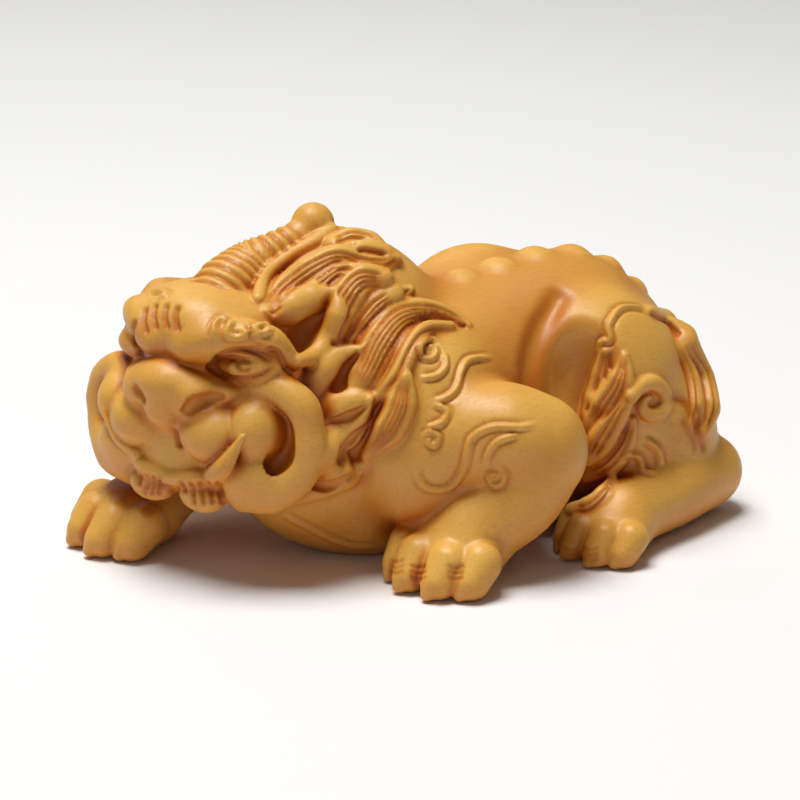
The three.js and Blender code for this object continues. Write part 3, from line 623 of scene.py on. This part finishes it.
def carve_tufts(block):
    """The soft fold of the flank, and behind it the tufts on the hind leg: four hanging locks, a curl
    wound into a ring and a lower flame."""
    plane = BODY_PLANE
    block.dent([[558, 298], [541, 330], [531, 362], [529, 386]], [0.2, 0.5, 0.5, 0.2], 3)
    block.lock([[606, 352], [604, 376], [598, 398], [588, 414]], [1.2, 2.4, 2.6, 1.4], 0.25, 0.4, plane, 3)
    block.lock([[625, 356], [620, 382], [607, 404], [592, 424]], [0.7, 2.2, 2.6, 1.6], 0.15, 0.4, plane, 3)
    block.lock([[634, 390], [618, 414], [602, 440], [590, 458]], [0.9, 1.8, 2.2, 1.4], 0.1, 0.4, plane, 2)
    block.lock([[632, 420], [624, 444], [608, 464], [588, 476]], [0.9, 1.8, 2.2, 1.2], 0.1, 0.4, plane, 2)
    ring = [[631, 396], [640, 386], [652, 383], [663, 392], [664, 405], [655, 414], [644, 412], [641, 402],
            [648, 397]]
    block.lock(ring, [1.1, 1.2, 1.3, 1.3, 1.3, 1.2, 1.1, 0.9, 0.7], 0, 0.3, plane)
    block.lock([[572, 509], [588, 507], [603, 495], [614, 476]], [1.2, 1.9, 1.7, 0.5], 0.2, 0.4, plane, 2)


def carve_forms(block):
    """All the rounded masses, from the trunk out to the tufts, cut off flat at the ground."""
    carve_trunk(block)
    carve_hind_legs(block)
    carve_forelegs(block)
    for centre, turn, scale in [((-5.6, -19.8, 0), 22, 1.02), ((-38.5, 18, 0), 5, 1.05),
                                ((20.4, -21.6, 0), 18, 0.84), ((18, 23, 0), -5, 0.95)]:
        carve_paw(block, centre, turn, scale)
    carve_skull(block)
    carve_mane(block)
    carve_ruff(block)
    for side in (1, -1):
        carve_cheek(block, side)
        carve_eye(block, side)
    carve_muzzle(block)
    carve_horn(block)
    carve_ears(block)
    carve_spine(block)
    carve_tail(block)
    carve_tufts(block)
    block.field = np.maximum(block.field, -block_heights(block))


def block_heights(block):
    """Height above the ground of each level of the grid, as a window over it."""
    return (LOW[2] + block.cell * np.arange(block.count[2])).astype(np.float32)[None, None, :]


def spiral(centre, radius, turns, start, hand=1):
    """Pixels of a spiral that winds in towards centre. hand is 1 for clockwise on the picture."""
    steps_a_turn = 14
    wound_in = 0.85  # the share of the radius that is gone at its inner end
    t = np.linspace(0, 1, int(steps_a_turn * turns) + 2)
    angle = np.radians(start) + hand * 2 * np.pi * turns * t
    r = radius * (1 - wound_in * t)
    return np.stack([centre[0] + r * np.cos(angle), centre[1] + r * np.sin(angle)], 1)


def draw_shoulder(block):
    """Low relief on both shoulders and arms: clouds, hooks and long S curves, raised as ribs."""
    wave = [[494, 357], [475, 358], [466, 362], [461, 372], [456, 389], [445, 398], [433, 402]]
    upper_hook = [[444, 352], [446, 366], [436, 376], [420, 378]]
    middle_hook = [[432, 403], [445, 409], [447, 415], [441, 423], [423, 430]]
    curve = [[414, 465], [422, 484], [435, 490], [452, 486], [463, 470], [468, 450], [473, 437],
             [493, 427], [521, 427], [538, 424]]
    lower_hook = [[485, 465], [490, 450], [500, 440], [520, 434]]
    block.cut(wave, RIB, BROAD_RIB_WIDTH, BODY_PLANE, True)
    block.cut(spiral((430, 351), 14, 1.4, -20, -1), RIB, FINE_RIB_WIDTH, BODY_PLANE)
    block.cut(upper_hook, RIB, FINE_RIB_WIDTH, BODY_PLANE, True)
    block.cut(middle_hook, RIB, BROAD_RIB_WIDTH, BODY_PLANE, True)
    block.cut(spiral((432, 440), 10, 1.2, 180, 1), RIB, FINE_RIB_WIDTH, BODY_PLANE)
    block.cut(curve, RIB, BROAD_RIB_WIDTH, BODY_PLANE, True)
    block.cut(lower_hook, RIB, FINE_RIB_WIDTH, BODY_PLANE, True)
    block.cut(spiral((495, 477), 11, 1.3, -90, 1), RIB, FINE_RIB_WIDTH, BODY_PLANE)


def draw_haunch(block):
    """Low relief on both haunches and calves: ribs ahead, and two broad shallow cuts behind."""
    cloud = [[597, 355], [601, 342], [610, 340], [609, 325], [620, 309], [636, 307], [653, 314]]
    for line in (cloud, [[621, 455], [638, 456], [644, 471], [658, 473]],
                 [[644, 438], [658, 449], [662, 466]]):
        block.cut(line, RIB, BROAD_RIB_WIDTH, BODY_PLANE, True)
    block.cut([[668, 395], [688, 405], [701, 438], [705, 453]], 0.4, 0.8, BODY_PLANE, True)
    block.cut([[681, 416], [692, 435], [697, 453]], 0.3, 0.7, BODY_PLANE, True)


def draw_face(block):
    """Curls of the brows, edges of the lids and pupil, wrinkles and the combed chin tufts."""
    for curl in ([[236, 320], [229, 326], [228, 335], [237, 338], [246, 334], [241, 327]],
                 [[216, 338], [214, 326], [222, 318], [228, 322]],
                 [[252, 323], [254, 331], [262, 333], [274, 328]],
                 [[268, 341], [257, 337], [256, 328], [264, 324], [271, 329]],
                 [[146, 296], [156, 291], [166, 293], [158, 300]]):
        block.cut(curl, RIB, FACE_WIDTH, None, True)
    for lid_edge in ([[210, 364], [222, 355], [240, 350], [258, 354], [276, 364]],
                     [[212, 368], [226, 376], [245, 379], [262, 374], [276, 365]]):
        block.cut(lid_edge, 0.6, FACE_WIDTH, None, True)
    pupil = [[244 + 6 * np.cos(a), 365 + 5 * np.sin(a)] for a in np.linspace(0, 2 * np.pi, 13)]
    block.cut(pupil, 0.3, 0.3)
    fold_behind_eye = [[266, 347], [279, 354], [287, 372]]
    block.cut(fold_behind_eye, 0.5, FACE_WIDTH, None, True)
    for x, top in [(132, 318), (143, 306), (153, 302), (164, 302), (175, 304)]:
        block.cut([[x + 3, top], [x, top + 14], [x + 4, top + 30]], 0.6, 0.5, None, True)
    for x in (140, 147, 154, 161):
        block.cut([[x, 474], [x - 1, 486], [x - 2, 497]], 0.55, 0.42)
    for x in (184, 193, 202, 211, 220):
        block.cut([[x - 3, 481], [x, 492], [x + 2, 506]], 0.55, 0.42)


def draw_chest(block):
    """The hem of the ruff over the chest."""
    block.cut([[280, 513], [309, 528], [346, 544], [383, 547]], -0.4, 0.5, None, True)


def draw_paws(block):
    """Wrinkles across the toes."""
    for x, y in [(418, 566), (456, 566), (396, 560), (590, 548), (570, 548)]:
        for row in range(3):
            low = y + 5.5 * row
            block.cut([[x - 9, low - 1], [x, low + 2], [x + 9, low - 1]], 0.28, 0.32, None, True)


def draw_strokes(block):
    """All the fine cuts and ribs."""
    block.part_hair()
    draw_shoulder(block)
    draw_haunch(block)
    draw_face(block)
    draw_chest(block)
    draw_paws(block)


def ring_height(block, points):
    """The rings of the horn: cuts right round it, a pitch apart, that fade towards both ends. They
    stay on the horn itself and spare the hair beside it."""
    reach = 7  # mm, past the thickest part of the horn
    first, last = 0.1, 0.95  # shares of its length where the rings start and stop
    rise, fall = 40, 12  # they fade in over a 40th of its length and out over a 12th
    slack = 0.7  # mm outside the horn's own radius where a ring has faded out
    edge = 3  # and it fades over a third of a mm
    run = smooth_run(horn_path(block), 10)
    length = np.linalg.norm(np.diff(run, axis=0), axis=1).sum()
    near = np.flatnonzero(((points > run.min(0) - reach) & (points < run.max(0) + reach)).all(1))
    d, share = nearest_on_run(points[near], run)
    pitch = block.sizes.ring_pitch
    gone = share * length
    off = np.abs((gone / pitch) % 1 - 0.5) * pitch
    thick = np.interp(share, np.linspace(0, 1, len(HORN_RADII)), HORN_RADII)
    worn = np.clip((share - first) * rise, 0, 1) * np.clip((last - share) * fall, 0, 1)
    worn *= np.clip((thick + slack - d) * edge, 0, 1)
    height = np.zeros(len(points))
    height[near] = -RING_DEPTH * np.exp(-((pitch / 2 - off) / RING_WIDTH) ** 2) * worn
    return height


def fine_height(block, points):
    """How far the strokes and the horn's rings raise or lower the skin at each point, mm."""
    return block.stroke_height(points) + ring_height(block, points)


def painted_shade_openness(block, points):
    """How open the skin is at each point, from 0 deep in a cut to 1 on a crest: the painted shade that
    darkens the wood's colour. It weighs the room close to the skin, the room further off, more where
    the skin looks up, and the fine cuts."""
    out = block.outward(points)
    close, close_room = 0.9, 0.8  # mm off the skin, and the room there that counts as open
    far, far_room = 2.6, 2.2
    always, skyward, tilt = 0.68, 0.32, 0.35  # the part that any skin has, and what a view up adds
    shut = 1.4  # one over the depth, 0.7 mm, of a stroke that counts as shut
    least, more = 0.45, 0.55  # what a shut stroke leaves, and what an open one adds
    # Painted shade in creases and hollows, from the room round the skin
    near_air = np.clip(block.sample(points + out * close) / close_room, 0, 1)
    wide_air = np.clip(block.sample(points + out * far) / far_room, 0, 1)
    # Painted shade on undersides: skin that faces down is darkened
    wide_air *= always + skyward * np.clip(out[:, 2] + tilt, 0, 1)
    # Painted shade inside the fine cuts and beside the ribs
    cuts = np.clip(1 + fine_height(block, points) * shut, 0, 1)
    return (near_air * 0.4 + wide_air * 0.6) * (least + more * cuts)


def skin_mesh(block):
    """The skin of the block as one closed mesh, mm, with its strays cleared away."""
    grid = openvdb.FloatGrid(BAND)
    grid.copyFromArray(block.field)
    points, quads = grid.convertToQuads(0.0)
    mesh = bpy.data.meshes.new("skin")
    mesh.from_pydata(LOW + points * block.cell, [], quads.tolist())
    work = bmesh.new()
    work.from_mesh(mesh)
    top = max(work.verts, key=lambda v: v.co.z)
    kept = {top}
    front = [top]
    while front:
        for edge in front.pop().link_edges:
            for v in edge.verts:
                if v not in kept:
                    kept.add(v)
                    front.append(v)
    bmesh.ops.delete(work, geom=[v for v in work.verts if v not in kept], context="VERTS")
    bmesh.ops.triangulate(work, faces=work.faces)
    work.to_mesh(mesh)
    work.free()
    return mesh


def places(mesh):
    """The places of a mesh's vertices as an array."""
    flat = np.empty(len(mesh.vertices) * 3, np.float32)
    mesh.vertices.foreach_get("co", flat)
    return flat.reshape(-1, 3).astype(float)


def put_places(mesh, points):
    """Moves the vertices of a mesh to points."""
    mesh.vertices.foreach_set("co", points.astype(np.float32).ravel())
    mesh.update()


def settle(block, points):
    """Moves points on to the skin of the block."""
    for _ in range(2):
        points = points - block.outward(points) * np.clip(block.sample(points), -0.5, 0.5)[:, None]
    return points


def thinned(mesh, most):
    """The mesh brought under a number of triangles, keeping them where it bends."""
    piece = bpy.data.objects.new("thinning", mesh)
    bpy.context.collection.objects.link(piece)
    if len(mesh.polygons) > most:
        modifier = piece.modifiers.new("Thin", "DECIMATE")
        modifier.ratio = most / len(mesh.polygons)
    depsgraph = bpy.context.evaluated_depsgraph_get()
    result = bpy.data.meshes.new_from_object(piece.evaluated_get(depsgraph))
    bpy.data.objects.remove(piece)
    return result


def add_node(tree, kind, settings=None, links=None):
    """Adds a shader node. Settings name its properties, or its inputs by name or number. Links feed
    its inputs from other nodes' outputs."""
    node = tree.nodes.new(kind)
    for key, value in (settings or {}).items():
        if isinstance(key, str) and hasattr(node, key):
            setattr(node, key, value)
        else:
            node.inputs[key].default_value = value
    for key, output in (links or {}).items():
        tree.links.new(output, node.inputs[key])
    return node


def ramp(node, stops):
    """Sets the stops of a colour ramp from pairs of place and colour."""
    elements = node.color_ramp.elements
    while len(elements) < len(stops):
        elements.new(0.5)
    for element, (place, colour) in zip(elements, stops):
        element.position = place
        element.color = colour


def mixed(tree, share, under, over):
    """The colour under, with a fixed colour over it by a share. Sockets 6 and 7 of the node are its
    two colours, and output 2 is their mix."""
    node = add_node(tree, "ShaderNodeMix", {"data_type": "RGBA", 7: over}, {0: share, 6: under})
    return node.outputs[2]


def ranged(tree, value, low, high, to_low, to_high):
    """A value brought from one range to another."""
    settings = {"From Min": low, "From Max": high, "To Min": to_low, "To Max": to_high}
    return add_node(tree, "ShaderNodeMapRange", settings, {"Value": value}).outputs["Result"]


def boxwood_material(colours):
    """Boxwood, carved, sanded fine and oiled: a hard, very even wood, honey yellow, whose pores are too
    fine to see singly. Painted shade makes it orange brown in cuts, hollows and on undersides, and it
    is palest on open crests; it is satin all over."""
    material = bpy.data.materials.new("oiled_boxwood")
    material.use_nodes = True
    tree = material.node_tree
    tree.nodes.clear()
    crest, hollow, grain = (linear(c) for c in (colours.crest, colours.hollow, colours.grain))
    middle = [(a + b) / 2 for a, b in zip(crest, grain)]
    place = add_node(tree, "ShaderNodeTexCoord").outputs["Object"]
    # Painted shade: the tone runs from the hollow colour where the skin is shut or faces down to the crest
    # colour where it is open and faces up
    painted_shade_value = add_node(tree, "ShaderNodeAttribute", {"attribute_name": "painted_shade_openness"}).outputs["Fac"]
    painted_shade_tone = add_node(tree, "ShaderNodeValToRGB", None, {"Fac": painted_shade_value})
    ramp(painted_shade_tone, [(0.08, hollow), (0.5, grain), (0.8, middle), (0.97, crest)])
    # Growth rings about 9 mm apart, far wider than boxwood's own, because finer ones wouldn't show
    turned_place = add_node(tree, "ShaderNodeMapping", {"Rotation": (0.1, 0.5, 0.3)}, {"Vector": place})
    rings = add_node(tree, "ShaderNodeTexWave", {
        "wave_type": "BANDS", "bands_direction": "Z", "Scale": 34.0, "Distortion": 5.0,
        "Detail": 3.0, "Detail Scale": 0.6}, {"Vector": turned_place.outputs["Vector"]})
    colour = mixed(tree, ranged(tree, rings.outputs["Fac"], 0, 1, 0, 0.2), painted_shade_tone.outputs["Color"], grain)
    # Flecks along X, as the trunk grew, 0.3 mm wide and 2 mm long: far coarser than pores, which
    # wouldn't show
    pore_place = add_node(tree, "ShaderNodeMapping", {"Scale": (500, 3400, 3400)}, {"Vector": place})
    pores = add_node(tree, "ShaderNodeTexNoise", {"Scale": 1.0, "Detail": 3.0, "Roughness": 0.65},
                     {"Vector": pore_place.outputs["Vector"]}).outputs["Fac"]
    colour = mixed(tree, ranged(tree, pores, 0.5, 0.8, 0, 0.28), colour, hollow)
    # Uneven oiling in patches about 12 mm across
    patches = add_node(tree, "ShaderNodeTexNoise", {"Scale": 80.0, "Detail": 2.0}, {"Vector": place})
    colour = mixed(tree, ranged(tree, patches.outputs["Fac"], 0.3, 0.7, 0, 0.25), colour, grain)
    bump = add_node(tree, "ShaderNodeBump", {"Strength": 0.25, "Distance": 0.00006}, {"Height": pores})
    shader = add_node(
        tree, "ShaderNodeBsdfPrincipled", {"IOR": 1.5, "Specular IOR Level": 0.42},
        {"Base Color": colour, "Roughness": ranged(tree, pores, 0.3, 0.7, 0.36, 0.5),
         "Normal": bump.outputs["Normal"]})
    add_node(tree, "ShaderNodeOutputMaterial", None, {"Surface": shader.outputs["BSDF"]})
    return material


def floor_material(colours):
    """Matt paper sweep, very pale."""
    material = bpy.data.materials.new("paper_floor")
    material.use_nodes = True
    shader = material.node_tree.nodes["Principled BSDF"]
    shader.inputs["Base Color"].default_value = linear(colours.floor)
    shader.inputs["Roughness"].default_value = 0.9
    return material


def lay_floor(context):
    """The paper floor, three metres wide, so that no edge of it shows."""
    mesh = bpy.data.meshes.new("floor")
    work = bmesh.new()
    bmesh.ops.create_grid(work, x_segments=1, y_segments=1, size=1.5)
    work.to_mesh(mesh)
    work.free()
    mesh.materials.append(floor_material(context.scene.pixiu_colours))
    floor = bpy.data.objects.new("floor", mesh)
    context.collection.objects.link(floor)


def hang_lights(context, aim):
    """Soft lamps that face the figure: the key overhead, a weak fill and a weak one behind, in a dim
    white room. Each has its place from the figure and its width in metres, and its power in watts."""
    for name, offset, size, power in [
            ("key", (-0.12, 0.06, 0.85), 0.42, 8.2),
            ("fill", (-0.6, -0.55, 0.4), 0.5, 0.3),
            ("back", (0.1, 0.7, 0.55), 0.5, 0.6)]:
        lamp = bpy.data.lights.new(name, "AREA")
        lamp.size = size
        lamp.energy = power
        light = bpy.data.objects.new(name, lamp)
        light.location = aim + Vector(offset)
        light.rotation_euler = (-Vector(offset)).to_track_quat("-Z", "Y").to_euler()
        context.collection.objects.link(light)
    world = bpy.data.worlds.new("studio")
    world.use_nodes = True
    sky = world.node_tree.nodes["Background"]
    sky.inputs["Color"].default_value = (1, 1, 1, 1)
    sky.inputs["Strength"].default_value = 0.09
    context.scene.world = world
    context.scene.view_settings.view_transform = "Standard"


def set_camera(context, aim):
    """The camera, where the photograph was taken from."""
    camera_data = bpy.data.cameras.new("camera")
    camera_data.sensor_width = SENSOR
    camera_data.lens = FOCAL / SIDE * SENSOR
    camera_data.clip_start = 0.01
    camera = bpy.data.objects.new("camera", camera_data)
    camera.location = aim - Vector(AHEAD) * DISTANCE * MM
    camera.rotation_euler = Vector(AHEAD).to_track_quat("-Z", "Y").to_euler()
    context.collection.objects.link(camera)
    context.scene.camera = camera


class PIXIU_OT_carve(bpy.types.Operator):
    """Carve the pixiu: its masses, its skin, its fine strokes and its wood"""

    bl_idname = "pixiu.carve"
    bl_label = "Carve the pixiu"

    def execute(self, context):
        block = Block(context.scene.pixiu_sizes)
        carve_forms(block)
        draw_strokes(block)
        mesh = skin_mesh(block)
        points = settle(block, places(mesh))
        height = fine_height(block, points)
        height[points[:, 2] < FLAT_MARGIN] = 0
        put_places(mesh, points + block.outward(points) * height[:, None])
        mesh = thinned(mesh, block.sizes.triangles)
        points = places(mesh)
        points[:, 2] = np.maximum(points[:, 2], 0)
        # Painted shade, stored on the skin for the wood's colour: darker in cuts, hollows and on
        # undersides
        painted_shade_value = mesh.attributes.new("painted_shade_openness", "FLOAT", "POINT")
        painted_shade_value.data.foreach_set("value", painted_shade_openness(block, points))
        put_places(mesh, (points - STAND) * MM)
        mesh.polygons.foreach_set("use_smooth", [True] * len(mesh.polygons))
        piece = bpy.data.objects.new("carved_pixiu", mesh)
        context.collection.objects.link(piece)
        mesh.materials.clear()
        mesh.materials.append(boxwood_material(context.scene.pixiu_colours))
        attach(piece, "root")
        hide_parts("pixiu")
        return {"FINISHED"}


class PIXIU_OT_stage(bpy.types.Operator):
    """Set up the floor, the soft lights and the camera of the photograph"""

    bl_idname = "pixiu.stage"
    bl_label = "Set up the studio"

    def execute(self, context):
        aim = Vector((AIM - STAND) * MM)
        lay_floor(context)
        hang_lights(context, aim)
        set_camera(context, aim)
        return {"FINISHED"}


class PIXIU_PT_panel(bpy.types.Panel):
    """The sizes, the colours and the steps of the carving"""

    bl_label = "Boxwood Pixiu"
    bl_idname = "PIXIU_PT_panel"
    bl_space_type = "VIEW_3D"
    bl_region_type = "UI"
    bl_category = "Pixiu"

    def draw(self, context):
        layout = self.layout
        for group in (context.scene.pixiu_sizes, context.scene.pixiu_colours):
            for key in group.__annotations__:
                layout.prop(group, key)
        for operator in (PIXIU_OT_carve, PIXIU_OT_stage):
            layout.operator(operator.bl_idname)


CLASSES = (PixiuSizes, BoxwoodColours, PIXIU_OT_carve, PIXIU_OT_stage, PIXIU_PT_panel)


def register():
    for cls in CLASSES:
        bpy.utils.register_class(cls)
    bpy.types.Scene.pixiu_sizes = bpy.props.PointerProperty(type=PixiuSizes)
    bpy.types.Scene.pixiu_colours = bpy.props.PointerProperty(type=BoxwoodColours)


def unregister():
    del bpy.types.Scene.pixiu_colours
    del bpy.types.Scene.pixiu_sizes
    for cls in reversed(CLASSES):
        bpy.utils.unregister_class(cls)


def main():
    register()
    bpy.ops.pixiu.stage()
    bpy.ops.pixiu.carve()


if __name__ == "__main__":
    main()
